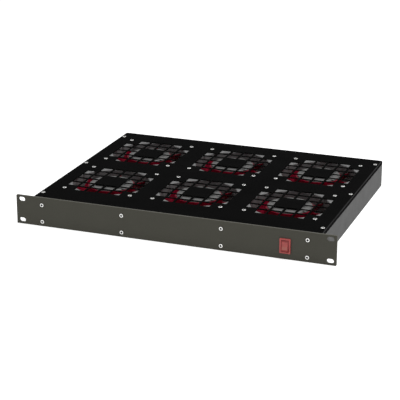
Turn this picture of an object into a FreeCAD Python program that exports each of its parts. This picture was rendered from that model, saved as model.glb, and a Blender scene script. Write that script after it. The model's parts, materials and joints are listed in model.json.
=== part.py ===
import FreeCAD, Part
import math
import os

from FreeCAD import Vector

# Rack fan tray, 1U: a front panel with rack slots, a flat chassis of two side rails, end walls,
# a floor and a lipped cover, six axial fans between two grilles, a rocker switch and a mains inlet.
# Millimetres. Origin: centre of the rack slots on the panel's rear face. X right, Y back, Z up.

# ---- Front panel ----
ear_width = 22.3
panel_over_cover = 3.15
panel_thickness = 3.0
panel_corner_radius = 1.0
slot_inset_x = 8.75
slot_inset_z = 5.95
slot_length = 10.3
slot_width = 6.8
panel_screw_end = 18.7
panel_screw_pitch = 125.2
panel_screw_inset_z = 6.9

# ---- Sheet and rail sizes ----
cover_thickness = 1.2
cover_lip = 4.5
cover_corner_radius = 3.0
cover_bend_radius = 1.0
floor_thickness = 1.2
end_wall_thickness = 1.5
side_wall_thickness = 2.5
rail_width = 10.0
rail_height = 6.0
fit_gap = 0.2
screw_play = 0.05
hole_play = 0.25
bite = 1.0

# ---- Fans and their places ----
fan_size = 119.0
fan_depth = 38.0
fan_hole_inset = 7.1
fan_play = 0.1
fan_columns = 3
fan_rows = 2
fan_gap_x = 21.4
fan_gap_y = 31.0
side_space = 19.1
front_space = 50.7
rear_space = 32.3

# ---- Grilles ----
grille_cells = 6
grille_margin = 4.15
grille_bar = 2.7

# ---- Fan frame ----
duct_wall = 2.0
frame_corner_radius = 7.0
flange_thickness = 4.0
duct_chamfer = 1.0
base_radius = 30.0
base_thickness = 2.5
base_raise = 1.0
strut_width = 6.0
strut_height = 3.5
strut_count = 4
bearing_tube_wall = 2.0
bearing_tube_top = 6.0
bearing_inset = 1.0
lower_bearing_raise = 4.0

# ---- Motor ----
shaft_radius = 2.0
bearing_radius = 5.5
bearing_width = 4.0
running_play = 0.05
press_play = 0.03
rotor_radius = 33.0
rotor_drop = 1.5
rotor_height = 27.0
rotor_top_thickness = 2.0
rotor_skirt_wall = 1.8
rotor_edge_radius = 2.0
magnet_wall = 4.2
magnet_slope = 2.0
magnet_raise = 2.0
magnet_drop = 1.0
shaft_end_gap = 1.0
rotor_boss_radius = 5.0
rotor_boss_height = 3.0
air_gap = 0.8
stator_height = 14.0
stator_depth = 16.0
pole_count = 4
yoke_wall = 4.4
pole_neck_width = 8.0
pole_shoe_depth = 6.0
pole_shoe_angle = 70.0
coil_wall = 3.2
coil_corner_radius = 2.5

# ---- Impeller ----
blade_count = 7
blade_phase = 8.0
ring_wall = 2.0
ring_drop = 4.0
ring_height = 26.0
tip_gap = 1.2
blade_depth = 19.0
blade_thickness = 2.0
blade_edge_thickness = 0.9
blade_hub_chord = 29.0
blade_tip_chord = 40.0
blade_hub_pitch = 48.0
blade_tip_pitch = 30.0
blade_camber = 3.0
blade_sweep = 6.0
blade_root_bite = 2.0
blade_tip_spare = 4.0

# ---- Fasteners ----
m3_radius = 1.5
m4_radius = 2.0
pan_head_radius = 2.9
pan_head_height = 2.0
m4_head_radius = 3.9
m4_head_height = 2.4
flat_head_radius = 2.8
flat_head_height = 1.1
pan_edge_share = 0.45
tip_chamfer_share = 0.3
recess_share = 0.62
recess_width = 0.9
recess_pit_share = 0.36
recess_depth = 1.1
flat_recess_depth = 0.7
screw_spare = 0.5
bore_spare = 1.0
cover_screw_inset = 6.3
cover_screw_end = 27.3
end_screw_length = 10.0
nut_flat_radius = 2.75
m4_nut_flat_radius = 3.5
nut_height = 2.4

# ---- Rocker switch ----
switch_end = 50.5
bezel_width = 15.5
bezel_height = 21.4
bezel_depth = 2.0
bezel_corner_radius = 0.8
bezel_skin = 1.0
switch_body_width = 13.4
switch_body_height = 19.4
switch_body_depth = 17.0
rocker_width = 10.4
rocker_reach = 7.8
rocker_apex = 2.0
rocker_back = 3.0
rocker_back_inset = 1.0
rocker_tilt = 9.0
rocker_pin_radius = 1.0
rocker_pin_hold = 0.6
rocker_gap = 0.35
switch_floor = 2.0
tab_head = 1.0
tab_width = 4.8
tab_thickness = 0.8
tab_length = 7.0
tab_pitch = 7.0

# ---- Mains inlet ----
inlet_flange_width = 50.0
inlet_flange_height = 22.4
inlet_flange_depth = 2.5
inlet_flange_radius = 4.0
inlet_body_width = 27.0
inlet_body_height = 20.0
inlet_body_depth = 17.5
inlet_recess_width = 24.4
inlet_recess_height = 16.8
inlet_recess_depth = 16.0
inlet_recess_chamfer = 4.5
inlet_pin_spacing = 7.0
inlet_pin_offset = 4.0
inlet_pin_width = 2.0
inlet_pin_height = 4.0
inlet_pin_recess = 2.5
inlet_tab_length = 8.0
inlet_screw_spacing = 40.0

# ---- Terminal block, leads and earth ----
block_pairs = 7
pair_pitch = 10.0
block_depth = 14.0
block_height = 13.0
block_front_y = 8.0
block_end_wall = 1.0
block_screw_radius = 1.8
block_screw_height = 2.0
block_screw_inset = 3.5
block_slot_width = 0.6
block_slot_depth = 0.8
block_well_depth = 4.0
block_groove_width = 0.6
block_groove_depth = 1.5
lead_diameter = 2.4
mains_diameter = 2.6
strut_lead_gap = 0.3
lead_exit_gap = 12.5
first_lane = 10.0
lane_step = 6.0
lane_split = 6.0
mains_lane = 18.0
mains_lift = 4.5
switched_lane = 9.0
switch_turn_x = 12.0
switch_turn_y = 8.0
stud_radius = 2.0
stud_length = 12.0
stud_offset_x = 36.0
lug_radius = 4.0
lug_thickness = 0.8
lug_rise = 7.0
lug_barrel_radius = 1.9
lug_barrel_length = 6.0
clip_wall = 1.2
clip_play = 0.6
clip_length = 6.0
clips_per_gap = 2

# ---- Worked out from the sizes above ----
body_width = fan_columns * fan_size + (fan_columns - 1) * fan_gap_x + 2 * side_space
body_depth = front_space + fan_rows * fan_size + (fan_rows - 1) * fan_gap_y + rear_space
panel_width = body_width + 2 * ear_width
panel_height = floor_thickness + fan_play + fan_depth + cover_thickness + panel_over_cover
slot_spacing_x = panel_width - 2 * slot_inset_x
slot_spacing_z = panel_height - 2 * slot_inset_z
body_bottom = -panel_height / 2
floor_top = body_bottom + floor_thickness
fan_top = floor_top + fan_play + fan_depth
cover_top = fan_top + cover_thickness
wall_mid = (body_bottom + fan_top) / 2
half_body = body_width / 2
panel_screw_outer_x = half_body - panel_screw_end
panel_screw_inner_x = panel_screw_outer_x - panel_screw_pitch
panel_screw_spacing_z = fan_top - body_bottom - 2 * panel_screw_inset_z
switch_x = half_body - switch_end
rear_wall_outer = body_depth - cover_thickness
rear_wall_inner = rear_wall_outer - end_wall_thickness
fan_pitch_x = fan_size + fan_gap_x
fan_pitch_y = fan_size + fan_gap_y
wall_inner_x = half_body - side_wall_thickness
rail_inner_x = wall_inner_x - rail_width
upper_rail_bottom = fan_top - rail_height
lower_rail_top = floor_top + rail_height
gap_x = fan_pitch_x / 2
tube_inner = bearing_radius
tube_outer = tube_inner + bearing_tube_wall
base_bottom = floor_top + fan_play + base_raise
base_top = base_bottom + base_thickness
strut_top = base_bottom + strut_height
lead_radius = lead_diameter / 2
strut_lead_z = strut_top + strut_lead_gap + lead_radius
ring_inner = rotor_radius + press_play
ring_outer = ring_inner + ring_wall
duct_radius = fan_size / 2 - duct_wall
tip_radius = duct_radius - tip_gap
fan_hole_spacing = fan_size - 2 * fan_hole_inset
grille_pitch = (fan_size - 2 * grille_margin + grille_bar) / grille_cells
lead_exit_radius = fan_size / 2 + lead_exit_gap
rotor_inner = rotor_radius - rotor_skirt_wall - magnet_wall
stator_outer = rotor_inner - air_gap
fan_bottom = fan_top - fan_depth
tube_top = fan_top - bearing_tube_top
block_top = floor_top + block_height
stud_x = gap_x - stud_offset_x
block_rear_y = block_front_y + block_depth

os.makedirs("parts", exist_ok=True)


def save(name, shape):
    """Writes one node and prints its solids and volume."""
    shape.exportStep("parts/" + name + ".step")
    print(name, "solids", len(shape.Solids), "valid", shape.isValid(), "volume", round(shape.Volume, 1))


def save_group(name, shapes):
    save(name, Part.makeCompound(shapes))


def block(x0, x1, y0, y1, z0, z1):
    return Part.makeBox(x1 - x0, y1 - y0, z1 - z0, Vector(x0, y0, z0))


def post(radius, x, y, z0, z1):
    return Part.makeCylinder(radius, z1 - z0, Vector(x, y, z0))


def bar_y(radius, x, z, y0, y1):
    return Part.makeCylinder(radius, y1 - y0, Vector(x, y0, z), Vector(0, 1, 0))


def bar_x(radius, y, z, x0, x1):
    return Part.makeCylinder(radius, x1 - x0, Vector(x0, y, z), Vector(1, 0, 0))


def turned(profile):
    """Solid of revolution about Z from a list of (radius, z) corners."""
    points = [Vector(r, 0, z) for r, z in profile]
    face = Part.Face(Part.makePolygon(points + points[:1]))
    return face.revolve(Vector(0, 0, 0), Vector(0, 0, 1), 360)


def prism_x(profile, x0, x1):
    """Extrudes a closed (y, z) outline along X."""
    points = [Vector(x0, y, z) for y, z in profile]
    face = Part.Face(Part.makePolygon(points + points[:1]))
    return face.extrude(Vector(x1 - x0, 0, 0))


def prism_y(profile, y0, y1):
    """Extrudes a closed (x, z) outline along Y."""
    points = [Vector(x, y0, z) for x, z in profile]
    face = Part.Face(Part.makePolygon(points + points[:1]))
    return face.extrude(Vector(0, y1 - y0, 0))


def upright_edges(solid, axis):
    """Edges of a solid that run along one axis."""
    found = []
    for edge in solid.Edges:
        if abs(edge.tangentAt(edge.FirstParameter).dot(axis)) > 0.999:
            found.append(edge)
    return found


def rims_at(solid, z):
    """Closed edges of a solid that lie at one height."""
    found = []
    for edge in solid.Edges:
        box = edge.BoundBox
        if edge.Closed and abs(box.ZMin - z) < 0.001 and abs(box.ZMax - z) < 0.001:
            found.append(edge)
    return found


def rounded_block(x0, x1, y0, y1, z0, z1, radius, axis):
    solid = block(x0, x1, y0, y1, z0, z1)
    return solid.makeFillet(radius, upright_edges(solid, axis))


def fan_centres():
    """(x, y) of every fan: left to right, the front row first."""
    centres = []
    for row in range(fan_rows):
        for column in range(fan_columns):
            x = (column - (fan_columns - 1) / 2) * fan_pitch_x
            y = front_space + fan_size / 2 + row * fan_pitch_y
            centres.append((x, y))
    return centres


def fan_holes(x, y):
    half = fan_hole_spacing / 2
    return [(x + i * half, y + j * half) for j in (-1, 1) for i in (-1, 1)]


def cross_recess(head_radius, top, depth):
    """Cross-shaped driver recess with a round middle."""
    reach = recess_share * head_radius
    half = recess_width / 2
    low = top - depth
    slots = [block(-reach, reach, -half, half, low, top), block(-half, half, -reach, reach, low, top)]
    return post(recess_pit_share * head_radius, 0, 0, low, top).fuse(slots)


def pan_screw(radius, length, head_radius, head_height):
    """Pan head screw, its seat at z = 0 and its shank below."""
    head = post(head_radius, 0, 0, 0, head_height)
    head = head.makeFillet(pan_edge_share * head_height, rims_at(head, head_height))
    shank = post(radius - screw_play, 0, 0, -length, 0)
    shank = shank.makeChamfer(tip_chamfer_share * radius, rims_at(shank, -length))
    return head.fuse(shank).cut(cross_recess(head_radius, head_height, recess_depth)).removeSplitter()


def flat_screw(radius, length, head_radius, head_height):
    """Countersunk screw, its flat top at z = 0."""
    core = radius - screw_play
    corners = [(0, 0), (head_radius, 0), (core, -head_height), (core, -length), (0, -length)]
    return turned(corners).cut(cross_recess(head_radius, 0, flat_recess_depth)).removeSplitter()


def hex_nut(flat_radius, bore, height):
    corner = flat_radius / math.cos(math.pi / 6)
    angles = [k * math.pi / 3 for k in range(7)]
    points = [Vector(corner * math.cos(a), corner * math.sin(a), 0) for a in angles]
    solid = Part.Face(Part.makePolygon(points)).extrude(Vector(0, 0, height))
    return solid.cut(post(bore, 0, 0, 0, height))


def facing(shape, direction, x, y, z):
    """Copy of a fastener made along +Z, turned so that +Z points front, back or down, at a place."""
    copy = shape.copy()
    if direction == "front":
        copy.rotate(Vector(0, 0, 0), Vector(1, 0, 0), 90)
    if direction == "back":
        copy.rotate(Vector(0, 0, 0), Vector(1, 0, 0), -90)
    if direction == "down":
        copy.rotate(Vector(0, 0, 0), Vector(1, 0, 0), 180)
    copy.translate(Vector(x, y, z))
    return copy


def panel_screw_places():
    places = []
    for x in (-panel_screw_outer_x, -panel_screw_inner_x, panel_screw_inner_x, panel_screw_outer_x):
        for side in (-1, 1):
            places.append((x, wall_mid + side * panel_screw_spacing_z / 2))
    return places


def side_screw_places():
    """(x, y) of the screws that hold the cover, and of those that hold the floor."""
    x = half_body - cover_screw_inset
    ys = (cover_screw_end, cover_screw_end + fan_pitch_y, cover_screw_end + 2 * fan_pitch_y)
    return [(side * x, y) for side in (-1, 1) for y in ys]


def end_screw_places():
    """(x, z) of the screws that hold the end walls to the rails' ends."""
    x = rail_inner_x + rail_width / 2
    heights = (floor_top + rail_height / 2, fan_top - rail_height / 2)
    return [(side * x, z) for side in (-1, 1) for z in heights]


def rack_slot(x, z):
    """Cut for a slot with round ends, long along X."""
    straight = (slot_length - slot_width) / 2
    half = slot_width / 2
    middle = block(x - straight, x + straight, -panel_thickness, 0, z - half, z + half)
    return middle.fuse([bar_y(half, x + side * straight, z, -panel_thickness, 0) for side in (-1, 1)])


def front_panel():
    half_w = panel_width / 2
    half_h = panel_height / 2
    solid = rounded_block(-half_w, half_w, -panel_thickness, 0, -half_h, half_h,
                          panel_corner_radius, Vector(0, 1, 0))
    cuts = []
    for i in (-1, 1):
        for j in (-1, 1):
            cuts.append(rack_slot(i * slot_spacing_x / 2, j * slot_spacing_z / 2))
    for x, z in panel_screw_places():
        cuts.append(bar_y(m3_radius + hole_play, x, z, -panel_thickness, 0))
    cuts.append(switch_cutout(-panel_thickness, 0))
    return solid.cut(cuts).removeSplitter()


def switch_cutout(y0, y1):
    half_w = switch_body_width / 2 + fit_gap
    half_h = switch_body_height / 2 + fit_gap
    return block(switch_x - half_w, switch_x + half_w, y0, y1, wall_mid - half_h, wall_mid + half_h)


def end_wall(y0, y1, face, cuts):
    """Plate across a chassis end, countersunk for the screws into the rails."""
    half_w = half_body - cover_thickness - fit_gap
    direction = "front" if face == y0 else "back"
    sink = facing(countersink_tool(), direction, 0, face, 0)
    for x, z in end_screw_places():
        cuts.append(sink.translated(Vector(x, 0, z)))
    return block(-half_w, half_w, y0, y1, body_bottom, fan_top).cut(cuts)


def front_wall():
    cuts = [switch_cutout(0, end_wall_thickness)]
    for x, z in panel_screw_places():
        cuts.append(bar_y(m3_radius + hole_play, x, z, 0, end_wall_thickness))
    return end_wall(0, end_wall_thickness, 0, cuts)


def countersink_tool():
    """Seat and clearance hole for a flat head screw, its top at z = 0."""
    wide = flat_head_radius + screw_play
    hole = m3_radius + hole_play
    end = -inlet_flange_depth - end_wall_thickness
    return turned([(0, 0), (wide, 0), (hole, -flat_head_height), (hole, end), (0, end)])


def rear_wall():
    half_cut_w = inlet_body_width / 2 + fit_gap
    half_cut_h = inlet_body_height / 2 + fit_gap
    cuts = [block(gap_x - half_cut_w, gap_x + half_cut_w, rear_wall_inner, rear_wall_outer,
                  wall_mid - half_cut_h, wall_mid + half_cut_h)]
    for x in inlet_screw_xs():
        cuts.append(bar_y(m3_radius + hole_play, x, wall_mid, rear_wall_inner, rear_wall_outer))
    cuts.append(bar_y(stud_radius, stud_x, wall_mid, rear_wall_inner, rear_wall_outer))
    return end_wall(rear_wall_inner, rear_wall_outer, rear_wall_outer, cuts)


def inlet_screw_xs():
    return [gap_x + side * inlet_screw_spacing / 2 for side in (-1, 1)]


def side_wall(side):
    """Extruded side with a rebate for the cover's lip and two inward rails."""
    rebate_z = cover_top - cover_lip - fit_gap
    step_x = half_body - cover_thickness - fit_gap
    outline = [
        (half_body, body_bottom), (half_body, rebate_z), (step_x, rebate_z), (step_x, fan_top),
        (rail_inner_x, fan_top), (rail_inner_x, upper_rail_bottom), (wall_inner_x, upper_rail_bottom),
        (wall_inner_x, lower_rail_top), (rail_inner_x, lower_rail_top), (rail_inner_x, floor_top),
        (wall_inner_x, floor_top), (wall_inner_x, body_bottom),
    ]
    solid = prism_y([(side * x, z) for x, z in outline], end_wall_thickness, rear_wall_inner)
    cuts = []
    for x, y in side_screw_places():
        cuts.append(post(m3_radius, x, y, upper_rail_bottom, fan_top))
        cuts.append(post(m3_radius, x, y, floor_top, lower_rail_top))
    depth = end_screw_length + bore_spare
    for x, z in end_screw_places():
        cuts.append(bar_y(m3_radius, x, z, end_wall_thickness, end_wall_thickness + depth))
        cuts.append(bar_y(m3_radius, x, z, rear_wall_inner - depth, rear_wall_inner))
    return solid.cut([c for c in cuts if c.BoundBox.XMin * side > 0])


def grille_cuts(z, thickness):
    """Square openings over every fan: a grid without its corners and its middle four."""
    half = (grille_pitch - grille_bar) / 2
    last = grille_cells - 1
    cuts = []
    for x, y in fan_centres():
        for i in range(grille_cells):
            for j in range(grille_cells):
                corner = i in (0, last) and j in (0, last)
                middle = abs(2 * i - last) <= 1 and abs(2 * j - last) <= 1
                if corner or middle:
                    continue
                cx = x + (i - last / 2) * grille_pitch
                cy = y + (j - last / 2) * grille_pitch
                cuts.append(block(cx - half, cx + half, cy - half, cy + half, z, z + thickness))
    return cuts


def floor_plate():
    half_w = wall_inner_x - fit_gap
    solid = block(-half_w, half_w, end_wall_thickness, rear_wall_inner, body_bottom, floor_top)
    cuts = grille_cuts(body_bottom, floor_thickness)
    sink = countersink_tool()
    for x, y in side_screw_places():
        cuts.append(facing(sink, "down", x, y, body_bottom))
    return solid.cut(cuts)


def top_cover():
    """Punched sheet with lips turned down at both sides and at the back."""
    outer = rounded_cover_outline(half_body, body_depth, cover_corner_radius)
    shell = Part.Face(outer).extrude(Vector(0, 0, cover_lip))
    shell.translate(Vector(0, 0, cover_top - cover_lip))
    shell = shell.makeFillet(cover_bend_radius, bent_edges(shell))
    half_w = half_body - cover_thickness
    cuts = [block(-half_w, half_w, 0, rear_wall_outer, cover_top - cover_lip, fan_top)]
    cuts += grille_cuts(fan_top, cover_thickness)
    for x, y in fan_centres():
        for hx, hy in fan_holes(x, y):
            cuts.append(post(m4_radius + hole_play, hx, hy, fan_top, cover_top))
    for x, y in side_screw_places():
        cuts.append(post(m3_radius + hole_play, x, y, fan_top, cover_top))
    return shell.cut(cuts)


def bent_edges(shell):
    """Top edges of the cover's blank, but for the straight one at the front."""
    found = []
    for edge in shell.Edges:
        box = edge.BoundBox
        if abs(box.ZMin - cover_top) < 0.001 and box.YMax > 0.001:
            found.append(edge)
    return found


def rounded_cover_outline(half_w, depth, radius):
    """Cover outline at z = 0: square at the front, rounded at the rear corners."""
    bend = radius - radius * math.sqrt(0.5)
    left = Part.LineSegment(Vector(-half_w, depth - radius, 0), Vector(-half_w, 0, 0)).toShape()
    front = Part.LineSegment(Vector(-half_w, 0, 0), Vector(half_w, 0, 0)).toShape()
    right = Part.LineSegment(Vector(half_w, 0, 0), Vector(half_w, depth - radius, 0)).toShape()
    right_bend = Part.Arc(Vector(half_w, depth - radius, 0), Vector(half_w - bend, depth - bend, 0),
                          Vector(half_w - radius, depth, 0)).toShape()
    back = Part.LineSegment(Vector(half_w - radius, depth, 0), Vector(radius - half_w, depth, 0)).toShape()
    left_bend = Part.Arc(Vector(radius - half_w, depth, 0), Vector(bend - half_w, depth - bend, 0),
                         Vector(-half_w, depth - radius, 0)).toShape()
    return Part.Wire([left, front, right, right_bend, back, left_bend])


def square_ring(z0, z1):
    """Square fan flange around the origin, with rounded corners, the duct and four screw holes."""
    half = fan_size / 2
    solid = rounded_block(-half, half, -half, half, z0, z1, frame_corner_radius, Vector(0, 0, 1))
    cuts = [post(duct_radius, 0, 0, z0, z1)]
    for x, y in fan_holes(0, 0):
        cuts.append(post(m4_radius, x, y, z0, z1))
    return solid.cut(cuts)


def fan_frame(lead_angle):
    """Duct with two flanges, the struts, the motor base and the bearing tube, in one casting."""
    flange = square_ring(0, flange_thickness)
    flanges = [flange.translated(Vector(0, 0, z)) for z in (fan_bottom, fan_top - flange_thickness)]
    flare = duct_radius + duct_chamfer
    top_flare = Part.makeCone(duct_radius, flare, duct_chamfer, Vector(0, 0, fan_top - duct_chamfer))
    low_flare = Part.makeCone(flare, duct_radius, duct_chamfer, Vector(0, 0, fan_bottom))
    notch_half = lead_diameter / 2 + fit_gap
    notch = block(duct_radius - bite, fan_size / 2 + bite, -notch_half, notch_half,
                  strut_top, strut_lead_z + notch_half)
    notch.rotate(Vector(0, 0, 0), Vector(0, 0, 1), lead_angle)
    duct = post(fan_size / 2, 0, 0, fan_bottom, fan_top).cut(post(duct_radius, 0, 0, fan_bottom, fan_top))
    solid = duct.fuse(flanges).cut([top_flare, low_flare, notch])
    half = strut_width / 2
    struts = []
    for k in range(strut_count):
        strut = block(base_radius - bite, duct_radius + duct_wall / 2, -half, half, base_bottom, strut_top)
        strut.rotate(Vector(0, 0, 0), Vector(0, 0, 1), lead_angle + k * 360 / strut_count)
        struts.append(strut)
    base = post(base_radius, 0, 0, base_bottom, base_top)
    tube = post(tube_outer, 0, 0, base_bottom, tube_top).cut(post(tube_inner, 0, 0, base_top, tube_top))
    return solid.fuse(struts + [base, tube]).removeSplitter()


def bearings():
    """Two ball bearings as plain rings, at the ends of the bearing tube."""
    rings = []
    for z in (tube_top - bearing_inset - bearing_width, base_top + lower_bearing_raise):
        ring = post(bearing_radius - press_play, 0, 0, z, z + bearing_width)
        rings.append(ring.cut(post(shaft_radius + running_play, 0, 0, z, z + bearing_width)))
    return rings


def shaft():
    top = fan_top - rotor_drop - rotor_top_thickness / 2 - press_play
    return post(shaft_radius, 0, 0, base_top + shaft_end_gap, top)


def rotor_cup():
    """Outer rotor: a steel cup with its magnet ring and the boss that grips the shaft."""
    top = fan_top - rotor_drop
    under = top - rotor_top_thickness
    bottom = top - rotor_height
    skirt = rotor_radius - rotor_skirt_wall
    boss_bottom = under - rotor_boss_height
    magnet_low = bottom + magnet_raise
    magnet_high = under - magnet_drop
    cup = turned([(0, top), (rotor_radius, top), (rotor_radius, bottom), (skirt, bottom),
                  (skirt, magnet_low), (rotor_inner, magnet_low + magnet_slope),
                  (rotor_inner, magnet_high - magnet_slope),
                  (skirt, magnet_high), (skirt, under), (rotor_boss_radius, under),
                  (rotor_boss_radius, boss_bottom), (0, boss_bottom)])
    cup = cup.makeFillet(rotor_edge_radius, rims_at(cup, top))
    return cup.cut(post(shaft_radius + press_play, 0, 0, boss_bottom, top - rotor_top_thickness / 2))


def stator_zone():
    centre = fan_top - stator_depth
    return centre - stator_height / 2, centre + stator_height / 2


def stator_core():
    """Lamination stack: a yoke on the bearing tube with four T-shaped poles."""
    low, high = stator_zone()
    inner = tube_outer + press_play
    yoke_outer = inner + yoke_wall
    shoe_inner = stator_outer - pole_shoe_depth
    solid = post(yoke_outer, 0, 0, low, high)
    shoes = []
    for k in range(pole_count):
        neck = block(0, shoe_inner + bite, -pole_neck_width / 2, pole_neck_width / 2, low, high)
        sector = Part.makeCylinder(stator_outer, high - low, Vector(0, 0, low),
                                   Vector(0, 0, 1), pole_shoe_angle)
        shoe = sector.cut(post(shoe_inner, 0, 0, low, high))
        shoe.rotate(Vector(0, 0, 0), Vector(0, 0, 1), -pole_shoe_angle / 2)
        tee = neck.fuse(shoe)
        tee.rotate(Vector(0, 0, 0), Vector(0, 0, 1), k * 360 / pole_count)
        shoes.append(tee)
    return solid.fuse(shoes).cut(post(inner, 0, 0, low, high)).removeSplitter()


def coils():
    """One winding round each pole neck."""
    low, high = stator_zone()
    start = tube_outer + press_play + yoke_wall + fit_gap
    half = pole_neck_width / 2 + fit_gap
    outer_half = half + coil_wall
    low -= fit_gap
    high += fit_gap
    end = math.sqrt((stator_outer - pole_shoe_depth) ** 2 - outer_half ** 2) - fit_gap
    corner = min(coil_corner_radius, coil_wall)
    found = []
    for k in range(pole_count):
        coil = rounded_block(start, end, -outer_half, outer_half, low - coil_wall, high + coil_wall,
                             corner, Vector(1, 0, 0))
        coil = coil.cut(block(start, end, -half, half, low, high))
        coil.rotate(Vector(0, 0, 0), Vector(0, 0, 1), k * 360 / pole_count)
        found.append(coil)
    return found


def blade_section(radius, chord, pitch, sweep):
    """Closed cambered section in the plane x = radius, hollow side up."""
    angle = math.radians(pitch)
    middle = Vector(radius, sweep, fan_top - blade_depth)
    along = Vector(0, math.cos(angle), -math.sin(angle))
    normal = Vector(0, math.sin(angle), math.cos(angle))
    start = middle - along * (chord / 2)
    end = middle + along * (chord / 2)
    dip = middle - normal * blade_camber
    thin = normal * (blade_edge_thickness / 2)
    thick = normal * (blade_thickness / 2)
    upper = Part.Arc(start + thin, dip + thick, end + thin).toShape()
    nose = Part.LineSegment(end + thin, end - thin).toShape()
    lower = Part.Arc(end - thin, dip - thick, start - thin).toShape()
    tail = Part.LineSegment(start - thin, start + thin).toShape()
    return Part.Wire([upper, nose, lower, tail])


def blade():
    inner = rotor_radius - blade_root_bite
    outer = duct_radius + blade_tip_spare
    sections = []
    for share in (0, 0.5, 1):
        radius = inner + share * (outer - inner)
        chord = blade_hub_chord + share * (blade_tip_chord - blade_hub_chord)
        pitch = blade_hub_pitch + share * (blade_tip_pitch - blade_hub_pitch)
        sections.append(blade_section(radius, chord, pitch, share * share * blade_sweep))
    solid = Part.makeLoft(sections, True, False)
    annulus = post(tip_radius, 0, 0, fan_bottom, fan_top)
    return solid.common(annulus.cut(post(ring_outer - ring_wall / 2, 0, 0, fan_bottom, fan_top)))


def impeller():
    """Moulded ring that grips the rotor cup, with its blades."""
    top = fan_top - ring_drop
    ring = post(ring_outer, 0, 0, top - ring_height, top).cut(post(ring_inner, 0, 0, top - ring_height, top))
    blades = []
    for k in range(blade_count):
        piece = blade()
        piece.rotate(Vector(0, 0, 0), Vector(0, 0, 1), blade_phase + k * 360 / blade_count)
        blades.append(piece)
    return ring.fuse(blades)


def switch_body():
    """Bezel and housing with the rocker's well and its two pin bores."""
    front = -panel_thickness
    back = front + switch_body_depth
    bezel = rounded_block(-bezel_width / 2, bezel_width / 2, front - bezel_depth, front,
                          -bezel_height / 2, bezel_height / 2, bezel_corner_radius, Vector(0, 1, 0))
    housing = block(-switch_body_width / 2, switch_body_width / 2, front, back,
                    -switch_body_height / 2, switch_body_height / 2)
    well_w = rocker_width / 2 + rocker_gap
    well_h = rocker_sweep_radius() + rocker_gap
    well = block(-well_w, well_w, front - bezel_depth, back - switch_floor, -well_h, well_h)
    reach = bezel_width / 2 - bezel_skin
    pins = bar_x(rocker_pin_radius + running_play, front, 0, -reach, reach)
    solid = bezel.fuse(housing).removeSplitter().cut([well, pins] + switch_tabs(screw_play))
    solid.translate(Vector(switch_x, 0, wall_mid))
    return solid


def rocker_sweep_radius():
    """Reach of the rocker's farthest corner from its pivot."""
    front_corner = math.hypot(rocker_reach, rocker_apex + rocker_reach * math.tan(math.radians(rocker_tilt)))
    return max(front_corner, math.hypot(rocker_reach - rocker_back_inset, rocker_back))


def switch_tabs(play):
    """Two terminal tabs through the housing's floor, grown by a play for their slots."""
    back = switch_body_depth - panel_thickness
    start = back - switch_floor - tab_head
    half_w = tab_width / 2 + play
    half_t = tab_thickness / 2 + play
    tabs = []
    for side in (-1, 1):
        z = side * tab_pitch / 2
        tabs.append(block(-half_w, half_w, start, back + tab_length, z - half_t, z + half_t))
    return tabs


def switch_terminals():
    tabs = []
    for tab in switch_tabs(0):
        tab.translate(Vector(switch_x, 0, wall_mid))
        tabs.append(tab)
    return tabs


def switch_rocker():
    """Rocker with a shallow V face, its upper half pressed in at rest."""
    rise = rocker_reach * math.tan(math.radians(rocker_tilt))
    back_reach = rocker_reach - rocker_back_inset
    outline = [(-rocker_apex, 0), (-rocker_apex - rise, rocker_reach), (0, rocker_reach),
               (rocker_back, back_reach), (rocker_back, -back_reach), (0, -rocker_reach),
               (-rocker_apex - rise, -rocker_reach)]
    solid = prism_x(outline, -rocker_width / 2, rocker_width / 2)
    reach = rocker_width / 2 + rocker_gap + rocker_pin_hold
    solid = solid.fuse(bar_x(rocker_pin_radius, 0, 0, -reach, reach))
    solid.rotate(Vector(0, 0, 0), Vector(1, 0, 0), -rocker_tilt)
    solid.translate(Vector(switch_x, -panel_thickness, wall_mid))
    return solid


def inlet_recess_outline():
    half_w = inlet_recess_width / 2
    half_h = inlet_recess_height / 2
    cut = inlet_recess_chamfer
    return [(-half_w, -half_h), (half_w, -half_h), (half_w, half_h - cut), (half_w - cut, half_h),
            (cut - half_w, half_h), (-half_w, half_h - cut)]


def inlet_pin_places():
    line = -inlet_pin_offset / 2
    return [(-inlet_pin_spacing, line), (0, line + inlet_pin_offset), (inlet_pin_spacing, line)]


def inlet_pin(x, z, play):
    """Contact blade from its tab behind the body to its tip in the recess."""
    tip = rear_wall_outer + inlet_flange_depth - inlet_pin_recess
    back = rear_wall_outer - inlet_body_depth - inlet_tab_length
    half_w = inlet_pin_width / 2 + play
    half_h = inlet_pin_height / 2 + play
    x += gap_x
    z += wall_mid
    return block(x - half_w, x + half_w, back, tip, z - half_h, z + half_h)


def inlet_body():
    """Screwed flange and shrouded socket for the mains plug."""
    face = rear_wall_outer + inlet_flange_depth
    half_w = inlet_flange_width / 2
    half_h = inlet_flange_height / 2
    flange = rounded_block(gap_x - half_w, gap_x + half_w, rear_wall_outer, face,
                           wall_mid - half_h, wall_mid + half_h, inlet_flange_radius, Vector(0, 1, 0))
    half_w = inlet_body_width / 2
    half_h = inlet_body_height / 2
    box = block(gap_x - half_w, gap_x + half_w, rear_wall_outer - inlet_body_depth, rear_wall_outer,
                wall_mid - half_h, wall_mid + half_h)
    recess = prism_y(inlet_recess_outline(), face - inlet_recess_depth, face)
    cuts = [recess.translated(Vector(gap_x, 0, wall_mid))]
    for x, z in inlet_pin_places():
        cuts.append(inlet_pin(x, z, screw_play))
    sink = facing(countersink_tool(), "back", 0, 0, 0)
    for x in inlet_screw_xs():
        cuts.append(sink.translated(Vector(x, face, wall_mid)))
    return flange.fuse(box).cut(cuts).removeSplitter()


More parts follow.
